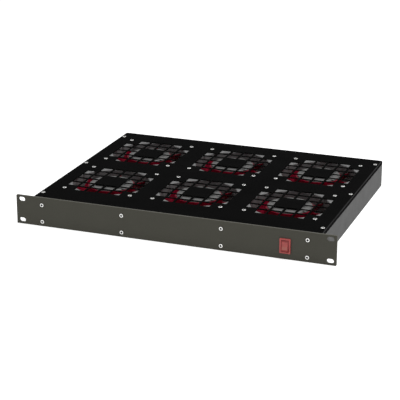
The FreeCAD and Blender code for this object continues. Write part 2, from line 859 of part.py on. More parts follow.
def inlet_screws():
    length = inlet_flange_depth + end_wall_thickness + nut_height + screw_spare
    screw = facing(flat_screw(m3_radius, length, flat_head_radius, flat_head_height), "back", 0, 0, 0)
    face = rear_wall_outer + inlet_flange_depth
    return [screw.translated(Vector(x, face, wall_mid)) for x in inlet_screw_xs()]


def inlet_nuts():
    nut = facing(hex_nut(nut_flat_radius, m3_radius, nut_height), "front", 0, 0, 0)
    return [nut.translated(Vector(x, rear_wall_inner, wall_mid)) for x in inlet_screw_xs()]


def block_pole_x(pole):
    """Middle of one of the block's poles, two to a pair."""
    return (pole + 0.5 - block_pairs) * pair_pitch / 2


def terminal_block():
    """Strip of clamp terminals with a well over every clamp screw and a groove between poles."""
    half = block_pairs * pair_pitch / 2 + block_end_wall
    solid = block(-half, half, block_front_y, block_rear_y, floor_top, block_top)
    cuts = []
    for x, y in block_screw_places():
        cuts.append(post(block_screw_radius + fit_gap, x, y, block_top - block_well_depth, block_top))
    groove = block_groove_width / 2
    for pole in range(2 * block_pairs - 1):
        x = block_pole_x(pole + 0.5)
        cuts.append(block(x - groove, x + groove, block_front_y, block_rear_y,
                          block_top - block_groove_depth, block_top))
    return solid.cut(cuts)


def block_screw_places():
    ys = (block_front_y + block_screw_inset, block_rear_y - block_screw_inset)
    return [(block_pole_x(pole), y) for pole in range(2 * block_pairs) for y in ys]


def terminal_screws():
    half = block_slot_width / 2
    slot = block(-block_screw_radius, block_screw_radius, -half, half,
                 block_screw_height - block_slot_depth, block_screw_height)
    screw = post(block_screw_radius, 0, 0, 0, block_screw_height).cut(slot)
    seat = block_top - block_well_depth
    return [screw.translated(Vector(x, y, seat)) for x, y in block_screw_places()]


def lead_tube(name, corners, diameter):
    """Tube along straight runs joined by tangent arcs as large as the runs allow."""
    points = [Vector(*corner) for corner in corners]
    edges = []
    radii = []
    start = points[0]
    length = 0
    for before, corner, after in zip(points, points[1:], points[2:]):
        way_in = corner - before
        way_out = after - corner
        turn = way_in.getAngle(way_out)
        cut = 0.45 * min(way_in.Length, way_out.Length)
        radius = cut / math.tan(turn / 2)
        way_in.normalize()
        way_out.normalize()
        inward = way_out - way_in
        inward.normalize()
        bend_start = corner - way_in * cut
        bend_end = corner + way_out * cut
        middle = corner + inward * (radius / math.cos(turn / 2) - radius)
        edges.append(Part.LineSegment(start, bend_start).toShape())
        edges.append(Part.Arc(bend_start, middle, bend_end).toShape())
        length += (bend_start - start).Length + radius * turn
        start = bend_end
        radii.append(round(radius, 1))
    edges.append(Part.LineSegment(start, points[-1]).toShape())
    length += (points[-1] - start).Length
    section = Part.Wire(Part.makeCircle(diameter / 2, points[0], points[1] - points[0]))
    tube = Part.Wire(edges).makePipeShell([section], True, False)
    share = tube.Volume / (math.pi * diameter * diameter / 4 * length)
    print("lead", name, "length", round(length, 1), "radii", radii, "volume share", round(share, 4))
    return tube


def pair_x(pair):
    return (pair + 0.5 - block_pairs / 2) * pair_pitch


def lead_plan():
    """For each fan, front row first: lead angle, gap lane x (none in the front row), terminal pair, lane."""
    middle = block_pairs // 2
    return [
        (-45, None, middle - 3, 0), (-135, None, middle - 1, 2), (-135, None, middle + 3, 0),
        (-45, -gap_x, middle - 2, 1), (-45, gap_x - lane_split / 2, middle + 1, 2),
        (-135, gap_x + lane_split / 2, middle + 2, 1),
    ]


def fan_leads():
    """Leads from the six motor bases, past a strut and through the gaps, to the terminal block."""
    z = strut_lead_z
    leads = []
    for number, (centre, plan) in enumerate(zip(fan_centres(), lead_plan())):
        x, y = centre
        angle, lane_x, pair, lane = plan
        across = math.cos(math.radians(angle))
        start = (base_radius + 1) * math.sqrt(0.5)
        side = math.copysign(1, across)
        lane_y = block_rear_y + first_lane + lane * lane_step
        corners = [(x + side * start, y - start, z)]
        if lane_x is None:
            exit_offset = lead_exit_radius * math.sqrt(0.5)
            lane_x = x + side * exit_offset
            corners.append((lane_x, y - exit_offset, z))
        else:
            corners.append((lane_x, y - abs(lane_x - x), z))
        corners += [(lane_x, lane_y, z), (pair_x(pair), lane_y, z), (pair_x(pair), block_rear_y, z)]
        leads.append(lead_tube("fan " + str(number + 1), corners, lead_diameter))
    return leads


def mains_leads():
    """Live lead to the switch, neutral lead to the block, and the switched lead back to the block."""
    inlet_y = rear_wall_outer - inlet_body_depth - inlet_tab_length
    inlet_z = wall_mid - inlet_pin_offset / 2
    lane_y = block_rear_y + mains_lane
    switched_y = block_rear_y + switched_lane
    switch_y = -panel_thickness + switch_body_depth + tab_length
    live_z = wall_mid - tab_pitch / 2
    switched_z = wall_mid + tab_pitch / 2
    live_x = gap_x + inlet_pin_spacing
    neutral_x = gap_x - inlet_pin_spacing
    middle_x = pair_x(block_pairs // 2)
    pole = pair_pitch / 4
    block_z = strut_lead_z + mains_lift
    live = [(live_x, inlet_y, inlet_z), (live_x, lane_y, inlet_z),
            (switch_x - switch_turn_x, lane_y, live_z), (switch_x, switch_y + switch_turn_y, live_z),
            (switch_x, switch_y, live_z)]
    neutral = [(neutral_x, inlet_y, inlet_z), (neutral_x, lane_y, inlet_z),
               (middle_x - pole, lane_y, block_z), (middle_x - pole, block_rear_y, block_z)]
    switched = [(switch_x, switch_y, switched_z), (switch_x, switched_y, switched_z),
                (middle_x + pole, switched_y, block_z), (middle_x + pole, block_rear_y, block_z)]
    return [lead_tube("live", live, mains_diameter), lead_tube("neutral", neutral, mains_diameter),
            lead_tube("switched", switched, mains_diameter)]


def earth_lead():
    """Lead from the inlet's earth tab, round behind the fan, to the lug on the rear wall."""
    tab_y = rear_wall_outer - inlet_body_depth - inlet_tab_length
    tab_z = wall_mid + inlet_pin_offset / 2
    lug_z = wall_mid + lug_rise
    lug_y = rear_wall_inner - lug_thickness - lug_barrel_length
    corners = [(gap_x, tab_y, tab_z), (gap_x, tab_y - 9, tab_z), (gap_x - 18, tab_y - 12, tab_z + 2),
               (stud_x + 4, tab_y - 7, lug_z), (stud_x, tab_y + 6, lug_z), (stud_x, lug_y, lug_z)]
    return lead_tube("earth", corners, mains_diameter)


def earth_stud():
    return bar_y(stud_radius, stud_x, wall_mid, rear_wall_outer - stud_length, rear_wall_outer)


def earth_lug():
    """Ring tongue against the rear wall, with a barrel that grips the earth lead."""
    y0 = rear_wall_inner - lug_thickness
    lug_z = wall_mid + lug_rise
    tongue = bar_y(lug_radius, stud_x, wall_mid, y0, rear_wall_inner)
    tail = block(stud_x - lug_barrel_radius, stud_x + lug_barrel_radius, y0, rear_wall_inner,
                 wall_mid, lug_z)
    barrel = bar_y(lug_barrel_radius, stud_x, lug_z, y0 - lug_barrel_length, rear_wall_inner)
    hole = bar_y(stud_radius + screw_play, stud_x, wall_mid, y0, rear_wall_inner)
    return tongue.fuse([tail, barrel]).cut(hole)


def earth_nut():
    nut = hex_nut(m4_nut_flat_radius, stud_radius, nut_height)
    return facing(nut, "front", stud_x, rear_wall_inner - lug_thickness, wall_mid)


def clip(x, y, tunnels):
    """Saddle on the floor with a tunnel for the leads at each height."""
    half = max(half_width for z, half_width, diameter in tunnels) + clip_wall
    top = max(z + diameter / 2 for z, half_width, diameter in tunnels) + clip_play / 2 + clip_wall
    solid = block(x - half, x + half, y, y + clip_length, floor_top, top)
    cuts = []
    for z, half_width, diameter in tunnels:
        high = (diameter + clip_play) / 2
        cuts.append(block(x - half_width, x + half_width, y, y + clip_length, z - high, z + high))
    return solid.cut(cuts)


def lead_clips():
    """Saddles along the gaps between the fan columns."""
    fan_tunnel = (strut_lead_z, (lane_split + lead_diameter + clip_play) / 2, lead_diameter)
    mains_half = inlet_pin_spacing + (mains_diameter + clip_play) / 2
    mains_tunnel = (wall_mid - inlet_pin_offset / 2, mains_half, mains_diameter)
    clips = []
    for k in range(clips_per_gap):
        y = front_space + (k + 1) * fan_size / (clips_per_gap + 1)
        clips.append(clip(-gap_x, y, [fan_tunnel]))
        clips.append(clip(gap_x, y, [fan_tunnel, mains_tunnel]))
    clips.append(clip(gap_x, front_space + fan_pitch_y + fan_size / 2, [mains_tunnel]))
    return clips


def panel_fasteners():
    length = panel_thickness + end_wall_thickness + nut_height + screw_spare
    screw = pan_screw(m3_radius, length, pan_head_radius, pan_head_height)
    nut = hex_nut(nut_flat_radius, m3_radius, nut_height)
    places = panel_screw_places()
    screws = [facing(screw, "front", x, -panel_thickness, z) for x, z in places]
    nuts = [facing(nut, "back", x, end_wall_thickness, z) for x, z in places]
    return screws, nuts


def cover_screws():
    length = cover_thickness + rail_height - screw_spare
    screw = pan_screw(m3_radius, length, pan_head_radius, pan_head_height)
    return [screw.translated(Vector(x, y, cover_top)) for x, y in side_screw_places()]


def floor_screws():
    length = floor_thickness + rail_height - screw_spare
    screw = flat_screw(m3_radius, length, flat_head_radius, flat_head_height)
    return [facing(screw, "down", x, y, body_bottom) for x, y in side_screw_places()]


def end_screws():
    screw = flat_screw(m3_radius, end_screw_length, flat_head_radius, flat_head_height)
    screws = []
    for x, z in end_screw_places():
        screws.append(facing(screw, "front", x, 0, z))
        screws.append(facing(screw, "back", x, rear_wall_outer, z))
    return screws


def fan_screws():
    length = cover_thickness + flange_thickness - screw_spare
    screw = pan_screw(m4_radius, length, m4_head_radius, m4_head_height)
    places = [hole for x, y in fan_centres() for hole in fan_holes(x, y)]
    return [screw.translated(Vector(x, y, cover_top)) for x, y in places]


def chassis():
    save("front_panel", front_panel())
    save("front_wall", front_wall())
    save("rear_wall", rear_wall())
    save("side_wall_left", side_wall(-1))
    save("side_wall_right", side_wall(1))
    save("floor_plate", floor_plate())
    save("top_cover", top_cover())
    screws, nuts = panel_fasteners()
    save_group("panel_screws", screws)
    save_group("panel_nuts", nuts)
    save_group("cover_screws", cover_screws())
    save_group("floor_screws", floor_screws())
    save_group("end_screws", end_screws())
    save_group("fan_screws", fan_screws())


def fans():
    """Six fans, each in its own nodes apart from the windings and bearings."""
    wheel = impeller()
    cup = rotor_cup()
    core = stator_core()
    axle = shaft()
    windings = []
    races = []
    for number, (centre, plan) in enumerate(zip(fan_centres(), lead_plan())):
        place = Vector(centre[0], centre[1], 0)
        suffix = "_" + str(number + 1)
        save("fan_frame" + suffix, fan_frame(plan[0]).translated(place))
        save("fan_stator" + suffix, core.translated(place))
        save("fan_impeller" + suffix, wheel.translated(place))
        save("rotor_cup" + suffix, cup.translated(place))
        save("rotor_shaft" + suffix, axle.translated(place))
        windings += [coil.translated(place) for coil in coils()]
        races += [ring.translated(place) for ring in bearings()]
    save_group("stator_windings", windings)
    save_group("fan_bearings", races)


def electrics():
    save("switch_body", switch_body())
    save("switch_rocker", switch_rocker())
    save_group("switch_terminals", switch_terminals())
    save("inlet_body", inlet_body())
    save_group("inlet_pins", [inlet_pin(x, z, 0) for x, z in inlet_pin_places()])
    save_group("inlet_screws", inlet_screws())
    save_group("inlet_nuts", inlet_nuts())
    save("terminal_block", terminal_block())
    save_group("terminal_screws", terminal_screws())
    save("earth_stud", earth_stud())
    save("earth_lug", earth_lug())
    save("earth_nut", earth_nut())
    save_group("fan_leads", fan_leads())
    save_group("mains_leads", mains_leads() + [earth_lead()])
    save_group("lead_clips", lead_clips())


chassis()
fans()
electrics()
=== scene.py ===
import json
import math

import bpy
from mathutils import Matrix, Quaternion, Vector


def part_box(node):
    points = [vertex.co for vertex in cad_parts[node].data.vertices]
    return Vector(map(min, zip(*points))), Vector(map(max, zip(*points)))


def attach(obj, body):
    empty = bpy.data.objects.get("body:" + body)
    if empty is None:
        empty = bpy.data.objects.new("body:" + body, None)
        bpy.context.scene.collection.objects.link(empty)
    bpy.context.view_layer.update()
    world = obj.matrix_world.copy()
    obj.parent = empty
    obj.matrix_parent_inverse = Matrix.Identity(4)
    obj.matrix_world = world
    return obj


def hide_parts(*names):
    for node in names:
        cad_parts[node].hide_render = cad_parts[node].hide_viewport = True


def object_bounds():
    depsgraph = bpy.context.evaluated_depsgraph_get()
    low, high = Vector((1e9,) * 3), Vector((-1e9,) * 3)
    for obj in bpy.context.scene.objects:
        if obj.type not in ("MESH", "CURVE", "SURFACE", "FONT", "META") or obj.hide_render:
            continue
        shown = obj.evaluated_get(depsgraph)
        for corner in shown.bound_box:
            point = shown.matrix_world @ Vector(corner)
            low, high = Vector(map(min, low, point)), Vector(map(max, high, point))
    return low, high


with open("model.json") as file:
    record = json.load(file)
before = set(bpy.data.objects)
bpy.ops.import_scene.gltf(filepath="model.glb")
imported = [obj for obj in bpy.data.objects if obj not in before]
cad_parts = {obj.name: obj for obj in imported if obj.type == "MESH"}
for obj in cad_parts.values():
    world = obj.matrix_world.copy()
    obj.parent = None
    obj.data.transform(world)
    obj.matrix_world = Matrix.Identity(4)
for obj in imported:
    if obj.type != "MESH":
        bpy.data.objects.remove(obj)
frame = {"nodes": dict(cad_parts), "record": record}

# Rack fan tray: finishes, light, floor and camera round the CAD model.
# Metres, in the model's own frame: X right, Y back, Z up, panel rear face at y = 0.

MM = 0.001
CAD_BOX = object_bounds()

# ---- Camera ----
CAMERA_TARGET = Vector((0.0, 0.1745, 0.0))
CAMERA_AZIMUTH = 19.83
CAMERA_ELEVATION = 19.08
CAMERA_ROLL = 0.26
CAMERA_DISTANCE = 2.156
CAMERA_LENS = 127.9
CAMERA_SHIFT = (-0.0341, -0.0239)

# ---- Light: each lamp's azimuth, elevation, distance, size and power ----
KEY_LAMP = (95.0, 68.0, 2.2, 1.2, 34.0)
FILL_LAMP = (-35.0, 35.0, 2.6, 1.8, 9.0)
WORLD_LEVEL = 0.3

# ---- Floor ----
FLOOR_HALF = 6.0
FLOOR_COLOUR = (0.85, 0.85, 0.85, 1.0)
FLOOR_ROUGHNESS = 0.9
FLOOR_GLOW = 0.6

# ---- Low screws: radius and height of a head, then the head's shape as shares of them ----
COVER_HEAD = (2.9 * MM, 0.9 * MM)
PANEL_HEAD = (2.9 * MM, 1.1 * MM)
HEAD_SPOKES = 48
HEAD_RIM = ((1.0, 0.0), (1.0, 0.5), (0.95, 0.84), (0.86, 1.0))
RECESS_PIT = 0.5
RECESS_REACH = 0.68
RECESS_ARM = 0.16
RECESS_TAPER = 0.8
RECESS_FLOOR = -0.5
RECESS_POINT = -0.8
SHARP_ANGLE = 25.0
SCREW_GAP = 12 * MM
SHANK_START = -0.3 * MM

# ---- Grain and edges of the finishes ----
COAT_EDGE = 0.4 * MM
COAT_CLOUD = 45 * MM
COAT_RELIEF = 0.05 * MM
EDGE_PATCH_SIZE = 6 * MM
MOULDED_EDGE = 0.3 * MM
MOULDED_RELIEF = 0.01 * MM
METAL_EDGE = 0.25 * MM
METAL_MARKS = 0.35 * MM
METAL_STAIN = 20 * MM
METAL_RELIEF = 0.006 * MM
# reach of the painted shade that darkens the screw heads' recesses
SCREW_RECESS_SHADE = 3.0 * MM

# ---- The cover's bends, with a painted highlight, and the rocker's lens, with painted light and shade ----
COVER_GRAIN = 0.6 * MM
COVER_BLACK = (0.0022, 0.0022, 0.0022)
# colour of the painted highlight along the cover's bends
COVER_BEND_HIGHLIGHT = (0.05, 0.05, 0.05)
BEND_INNER = (2.2 * MM, 1.2 * MM)
BEND_OUTER = (0.5 * MM, 0.2 * MM)
LENS_RED = (0.48, 0.086, 0.077)
# painted light on the rocker's lower half, then painted shade at its rim
LENS_PAINTED_LIGHT = (0.42, 0.15, 0.12)
LENS_RIM_SHADE = (0.26, 0.022, 0.02)


class Finish:
    """Node graph of one Principled material, with its textures laid out in metres on the part."""

    def __init__(self, name, metallic, specular):
        self.material = bpy.data.materials.new(name)
        self.material.use_nodes = True
        self.tree = self.material.node_tree
        self.shader = self.tree.nodes["Principled BSDF"]
        self.shader.inputs["Metallic"].default_value = metallic
        self.shader.inputs["Specular IOR Level"].default_value = specular
        self.place = self.tree.nodes.new("ShaderNodeTexCoord").outputs["Object"]

    def node(self, kind, settings=None, inputs=None):
        """Adds a node. An input has a name or number, and is a value or another node's output."""
        made = self.tree.nodes.new("ShaderNode" + kind)
        for key, value in (settings or {}).items():
            setattr(made, key, value)
        for key, value in (inputs or {}).items():
            if isinstance(value, bpy.types.NodeSocket):
                self.tree.links.new(value, made.inputs[key])
            else:
                made.inputs[key].default_value = value
        return made

    def math(self, operation, *values):
        """Result of one operation on values or outputs."""
        return self.node("Math", {"operation": operation}, dict(enumerate(values))).outputs[0]

    def spread(self, value, low, high, new_low=0.0, new_high=1.0):
        """Maps a value from one range to another, and clamps it."""
        names = ("Value", "From Min", "From Max", "To Min", "To Max")
        made = self.node("MapRange", None, dict(zip(names, (value, low, high, new_low, new_high))))
        return made.outputs["Result"]

    def blended(self, first, first_share, second):
        """Weighted sum of two values: a share of the first, and the rest of the second."""
        rest = self.math("MULTIPLY", second, 1.0 - first_share)
        return self.math("ADD", self.math("MULTIPLY", first, first_share), rest)

    def mix(self, share, first, second):
        """Colour between the first, at share 0, and the second, at 1."""
        made = self.node("Mix", {"data_type": "RGBA"}, {0: share, 6: first, 7: second})
        return made.outputs[2]

    def noise(self, size, detail, stretch=(1.0, 1.0, 1.0)):
        """Noise with features of a size in metres, drawn out along the axes."""
        scale = [1.0 / (size * s) for s in stretch]
        scaled = self.node("VectorMath", {"operation": "MULTIPLY"}, {0: self.place, 1: scale})
        inputs = {"Vector": scaled.outputs[0], "Scale": 1.0, "Detail": detail}
        return self.node("TexNoise", None, inputs).outputs["Fac"]

    def rounding(self, radius):
        """Surface direction as if every edge were rounded, and how near an edge a point is."""
        soft = self.node("Bevel", {"samples": 6}, {"Radius": radius}).outputs[0]
        flat = self.node("NewGeometry").outputs["Normal"]
        turn = self.node("VectorMath", {"operation": "DOT_PRODUCT"}, {0: soft, 1: flat})
        return soft, self.spread(turn.outputs["Value"], 0.995, 0.8)

    def colour(self, socket):
        """Links the base colour."""
        self.tree.links.new(socket, self.shader.inputs["Base Color"])

    def roughness(self, value, low, high):
        """Links the roughness, from low to high as the value goes across its middle range."""
        spread = self.spread(value, 0.3, 0.7, low, high)
        self.tree.links.new(spread, self.shader.inputs["Roughness"])

    def relief(self, height, depth, soft):
        """Bump of a depth in metres over the rounded edges."""
        made = self.node("Bump", None, {"Height": height, "Distance": depth, "Normal": soft})
        self.tree.links.new(made.outputs[0], self.shader.inputs["Normal"])


def shade(colour, share):
    """A colour made lighter or darker, as RGBA."""
    return tuple(min(1.0, c * share) for c in colour) + (1.0,)


def coated(name, colour, specular, rough, grain, wear_and_highlight):
    """Powder coat or anodising: fine grain, faint clouds, and patchy edges in another colour,
    partly rubbed wear and partly a painted highlight.
    """
    finish = Finish(name, 0.0, specular)
    fine = finish.noise(grain, 3.0)
    cloud = finish.noise(COAT_CLOUD, 3.0)
    soft, near_edge = finish.rounding(COAT_EDGE)
    grained = finish.mix(finish.spread(fine, 0.3, 0.7), shade(colour, 0.82), shade(colour, 1.18))
    clouded = finish.mix(finish.spread(cloud, 0.35, 0.65, 0.0, 0.5), grained, shade(colour, 1.12))
    # edges: patchy rubbed wear and a painted highlight, in the edge colour
    patchy = finish.spread(finish.noise(EDGE_PATCH_SIZE, 4.0), 0.35, 0.6, 0.15, 0.8)
    edge_highlight = finish.math("MULTIPLY", near_edge, patchy)
    finish.colour(finish.mix(edge_highlight, clouded, shade(wear_and_highlight, 1.0)))
    finish.roughness(finish.blended(fine, 0.5, cloud), rough - 0.06, rough + 0.06)
    finish.relief(fine, COAT_RELIEF, soft)
    return finish.material


def cover_coat():
    """The cover's powder coat, thin, with a patchy painted highlight along the bends at both sides.
    """
    finish = Finish("cover_coat", 0.0, 0.004)
    fine = finish.noise(COVER_GRAIN, 3.0)
    cloud = finish.noise(COAT_CLOUD, 3.0)
    soft = finish.rounding(COAT_EDGE)[0]
    low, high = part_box("top_cover")
    across = finish.node("SeparateXYZ", None, {0: finish.place}).outputs["X"]
    middle = (low[0] + high[0]) / 2
    out = finish.math("ABSOLUTE", finish.math("SUBTRACT", across, middle))
    bend = (high[0] - low[0]) / 2
    inner = finish.spread(out, bend - BEND_INNER[0], bend - BEND_INNER[1])
    outer = finish.spread(out, bend - BEND_OUTER[0], bend - BEND_OUTER[1], 1.0, 0.0)
    # painted highlight: a paler line along the bend at each side, made patchy by the clouds
    line = finish.math("MULTIPLY", inner, outer)
    edge_highlight = finish.math("MULTIPLY", line, finish.spread(cloud, 0.3, 0.6, 0.5, 1.0))
    dark, light, pale = (shade(COVER_BLACK, share) for share in (0.8, 1.2, 1.5))
    grained = finish.mix(finish.spread(fine, 0.3, 0.7), dark, light)
    clouded = finish.mix(finish.spread(cloud, 0.35, 0.65, 0.0, 0.5), grained, pale)
    finish.colour(finish.mix(edge_highlight, clouded, shade(COVER_BEND_HIGHLIGHT, 1.0)))
    finish.roughness(cloud, 0.62, 0.76)
    finish.relief(fine, COAT_RELIEF, soft)
    return finish.material


def rocker_lens():
    """Red rocker: painted light makes its lower half paler, and painted shade makes it darker
    towards its rim.
    """
    finish = Finish("rocker_lens", 0.0, 0.4)
    low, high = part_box("switch_rocker")
    middle = [(a + b) / 2 for a, b in zip(low, high)]
    half = [(b - a) / 2 for a, b in zip(low, high)]
    split = finish.node("SeparateXYZ", None, {0: finish.place}).outputs
    across = finish.math("DIVIDE", finish.math("SUBTRACT", split["X"], middle[0]), half[0])
    up = finish.math("DIVIDE", finish.math("SUBTRACT", split["Z"], middle[2]), half[2])
    # painted shade: the colour is made darker towards the rocker's rim
    rim_x = finish.spread(finish.math("ABSOLUTE", across), 0.58, 0.72)
    rim_z = finish.spread(finish.math("ABSOLUTE", up), 0.62, 0.76)
    rim_shade = finish.math("MAXIMUM", rim_x, rim_z)
    # painted light: the lower half is made paler, though no lamp lights it
    lamp = finish.math("MULTIPLY", finish.spread(up, 0.1, -0.3), finish.math("SUBTRACT", 1.0, rim_shade))
    flow = finish.noise(5 * MM, 4.0)
    soft = finish.rounding(MOULDED_EDGE)[0]
    body = finish.mix(finish.spread(flow, 0.35, 0.65), shade(LENS_RED, 0.9), shade(LENS_RED, 1.1))
    painted_lit = finish.mix(finish.math("MULTIPLY", lamp, 0.7), body, shade(LENS_PAINTED_LIGHT, 1.0))
    finish.colour(finish.mix(rim_shade, painted_lit, shade(LENS_RIM_SHADE, 1.0)))
    finish.roughness(flow, 0.3, 0.42)
    finish.relief(flow, MOULDED_RELIEF, soft)
    return finish.material


def moulded(name, colour, specular, rough, edge_share=1.25):
    """Moulded plastic: nearly even colour, a satin skin with flow marks, and paler edges as a
    painted highlight.
    """
    finish = Finish(name, 0.0, specular)
    fine = finish.noise(0.5 * MM, 2.0)
    flow = finish.noise(14 * MM, 4.0, (1.0, 1.0, 2.5))
    soft, near_edge = finish.rounding(MOULDED_EDGE)
    body = finish.mix(finish.spread(flow, 0.35, 0.65), shade(colour, 0.9), shade(colour, 1.1))
    # painted highlight: the colour is made paler along the rounded edges
    edge_highlight = finish.math("MULTIPLY", near_edge, 0.5)
    finish.colour(finish.mix(edge_highlight, body, shade(colour, edge_share)))
    finish.roughness(flow, rough - 0.05, rough + 0.07)
    finish.relief(fine, MOULDED_RELIEF, soft)
    return finish.material


def metal(name, colour, metallic, rough, stretch, specular=0.5, recess_shade=0.0):
    """Bare or plated metal with brush or draw marks along one axis, paler edges painted as a
    highlight, and, when asked, painted shade darkening its hollows.
    """
    finish = Finish(name, metallic, specular)
    marks = finish.noise(METAL_MARKS, 3.0, stretch)
    stain = finish.noise(METAL_STAIN, 4.0)
    soft, near_edge = finish.rounding(METAL_EDGE)
    body = finish.mix(finish.spread(marks, 0.3, 0.7), shade(colour, 0.88), shade(colour, 1.1))
    stained = finish.mix(finish.spread(stain, 0.45, 0.7, 0.0, 0.35), body, shade(colour, 0.78))
    # painted highlight: the colour is made paler along the rounded edges
    bright = finish.mix(finish.math("MULTIPLY", near_edge, 0.5), stained, shade(colour, 1.3))
    if recess_shade:
        # painted shade: ambient occlusion darkens the colour nearly to black in hollows and
        # recesses
        occlusion_level = finish.node("AmbientOcclusion", {"samples": 8}, {"Distance": recess_shade})
        unshaded_share = finish.spread(occlusion_level.outputs["AO"], 0.7, 0.96)
        bright = finish.mix(unshaded_share, shade(colour, 0.02), bright)
    finish.colour(bright)
    finish.roughness(finish.blended(marks, 0.6, stain), rough - 0.06, rough + 0.1)
    finish.relief(marks, METAL_RELIEF, soft)
    return finish.material


def turned_metal(name, colour, metallic, rough, ring_step):
    """Lathe-turned metal: fine rings about the piece's own upright middle."""
    finish = Finish(name, metallic, 0.5)
    own = finish.tree.nodes.new("ShaderNodeTexCoord").outputs["Generated"]
    centred = finish.node("VectorMath", {"operation": "SUBTRACT"}, {0: own, 1: (0.5, 0.5, 0.5)})
    level = {0: centred.outputs[0], 1: (1.0, 1.0, 0.0)}
    flat = finish.node("VectorMath", {"operation": "MULTIPLY"}, level)
    length = finish.node("VectorMath", {"operation": "LENGTH"}, {0: flat.outputs[0]})
    wobble = finish.math("MULTIPLY", finish.noise(9 * MM, 3.0), 0.02)
    radius = finish.math("ADD", length.outputs["Value"], wobble)
    rings = finish.math("SINE", finish.math("MULTIPLY", radius, ring_step))
    stain = finish.noise(16 * MM, 4.0)
    soft, near_edge = finish.rounding(0.5 * MM)
    body = finish.mix(finish.spread(rings, -1.0, 1.0), shade(colour, 0.93), shade(colour, 1.06))
    stained = finish.mix(finish.spread(stain, 0.4, 0.7, 0.0, 0.4), body, shade(colour, 0.8))
    # painted highlight: the colour is made paler along the rounded edges
    finish.colour(finish.mix(finish.math("MULTIPLY", near_edge, 0.4), stained, shade(colour, 1.4)))
    finish.roughness(stain, rough - 0.05, rough + 0.08)
    finish.relief(rings, 0.004 * MM, soft)
    return finish.material


def banded(name, colour, dark, metallic, rough, step):
    """Stacked sheets or wire: fine bands up the piece."""
    finish = Finish(name, metallic, 0.5)
    height = finish.node("SeparateXYZ", None, {0: finish.place}).outputs["Z"]
    bands = finish.math("SINE", finish.math("MULTIPLY", height, 2 * math.pi / step))
    stain = finish.noise(5 * MM, 3.0)
    soft = finish.rounding(0.2 * MM)[0]
    body = finish.mix(finish.spread(bands, -0.9, 0.3), shade(dark, 1.0), shade(colour, 1.0))
    finish.colour(finish.mix(finish.spread(stain, 0.45, 0.7, 0.0, 0.5), body, shade(colour, 0.7)))
    finish.roughness(stain, rough - 0.05, rough + 0.1)
    finish.relief(bands, 0.03 * MM, soft)
    return finish.material


def insulation(name, colour):
    """Soft lead insulation with a faint sheen."""
    finish = Finish(name, 0.0, 0.4)
    skin = finish.noise(1.2 * MM, 3.0)
    smear = finish.noise(18 * MM, 3.0)
    soft = finish.rounding(0.1 * MM)[0]
    finish.shader.inputs["Sheen Weight"].default_value = 0.1
    body = finish.mix(finish.spread(skin, 0.35, 0.65), shade(colour, 0.85), shade(colour, 1.15))
    finish.colour(finish.mix(finish.spread(smear, 0.4, 0.7, 0.0, 0.4), body, shade(colour, 1.5)))
    finish.roughness(smear, 0.42, 0.6)
    finish.relief(skin, 0.02 * MM, soft)
    return finish.material


def finishes():
    """One material for each of the record's slots."""
    grain = 0.5 * MM
    even = (1.0, 1.0, 1.0)
    # the second colour of each coated pair is its edge colour: rubbed wear and a painted highlight
    # in one
    panel, panel_wear_and_highlight = (0.078, 0.076, 0.061), (0.078, 0.076, 0.068)
    floor, floor_wear_and_highlight = (0.008, 0.008, 0.008), (0.04, 0.04, 0.04)
    frame_grey, frame_wear_and_highlight = (0.15, 0.15, 0.15), (0.22, 0.22, 0.22)
    rail, steel, brass = (0.12, 0.12, 0.119), (0.78, 0.78, 0.76), (0.7, 0.58, 0.33)
    stack, stack_gap = (0.24, 0.23, 0.22), (0.07, 0.065, 0.06)
    copper, copper_gap = (0.55, 0.2, 0.08), (0.2, 0.06, 0.02)
    return {
        "panel_black": coated("panel_coat", panel, 0.15, 0.55, grain, panel_wear_and_highlight),
        "cover_black": cover_coat(),
        "floor_black": coated("floor_coat", floor, 0.15, 0.62, COVER_GRAIN, floor_wear_and_highlight),
        "frame_grey": coated("fan_casting", frame_grey, 0.35, 0.5, 1.1 * MM, frame_wear_and_highlight),
        "rail_grey": metal("rail_aluminium", rail, 0.0, 0.55, (1.0, 60.0, 1.0), 0.06),
        "screw_steel": metal("screw_plate", steel, 1.0, 0.24, even, recess_shade=SCREW_RECESS_SHADE),
        "shaft_steel": metal("ground_steel", (0.5, 0.5, 0.5), 1.0, 0.25, (1.0, 1.0, 30.0)),
        "contact_brass": metal("plated_brass", brass, 1.0, 0.3, (1.0, 12.0, 1.0)),
        "rotor_grey": turned_metal("rotor_cup", (0.12, 0.12, 0.118), 0.0, 0.45, 420.0),
        "impeller_red": moulded("impeller_red", (0.2, 0.002, 0.016), 0.06, 0.35),
        "switch_red": moulded("switch_red", (0.52, 0.088, 0.082), 0.4, 0.38),
        "inlet_black": moulded("inlet_black", (0.012, 0.012, 0.012), 0.4, 0.42, 2.2),
        "block_white": moulded("block_white", (0.66, 0.66, 0.62), 0.4, 0.45, 1.1),
        "lamination": banded("lamination", stack, stack_gap, 0.8, 0.4, 0.5 * MM),
        "winding": banded("winding", copper, copper_gap, 0.7, 0.32, 0.45 * MM),
        "lead_black": insulation("lead_black", (0.02, 0.02, 0.02)),
        "lead_brown": insulation("lead_brown", (0.12, 0.04, 0.02)),
    }


def dress(materials):
    """Gives every CAD node the finish of its slot, and the rocker its own lens."""
    for part in frame["record"]["subparts"]:
        for place in frame["nodes"][part["node"]].material_slots:
            place.material = materials[part["material_slot"]]
    for place in frame["nodes"]["switch_rocker"].material_slots:
        place.material = rocker_lens()


def screw_places(points, second):
    """Middle of every screw of a CAD group, in the plane of X and a second axis."""
    places = []
    for point in points:
        at = (point[0], point[second])
        group = next((g for g in places if math.dist(g[0], at) < SCREW_GAP), None)
        if group is None:
            places.append([at, at, at])
        else:
            group[1] = tuple(map(min, group[1], at))
            group[2] = tuple(map(max, group[2], at))
    return [tuple((a + b) / 2 for a, b in zip(low, high)) for _, low, high in places]


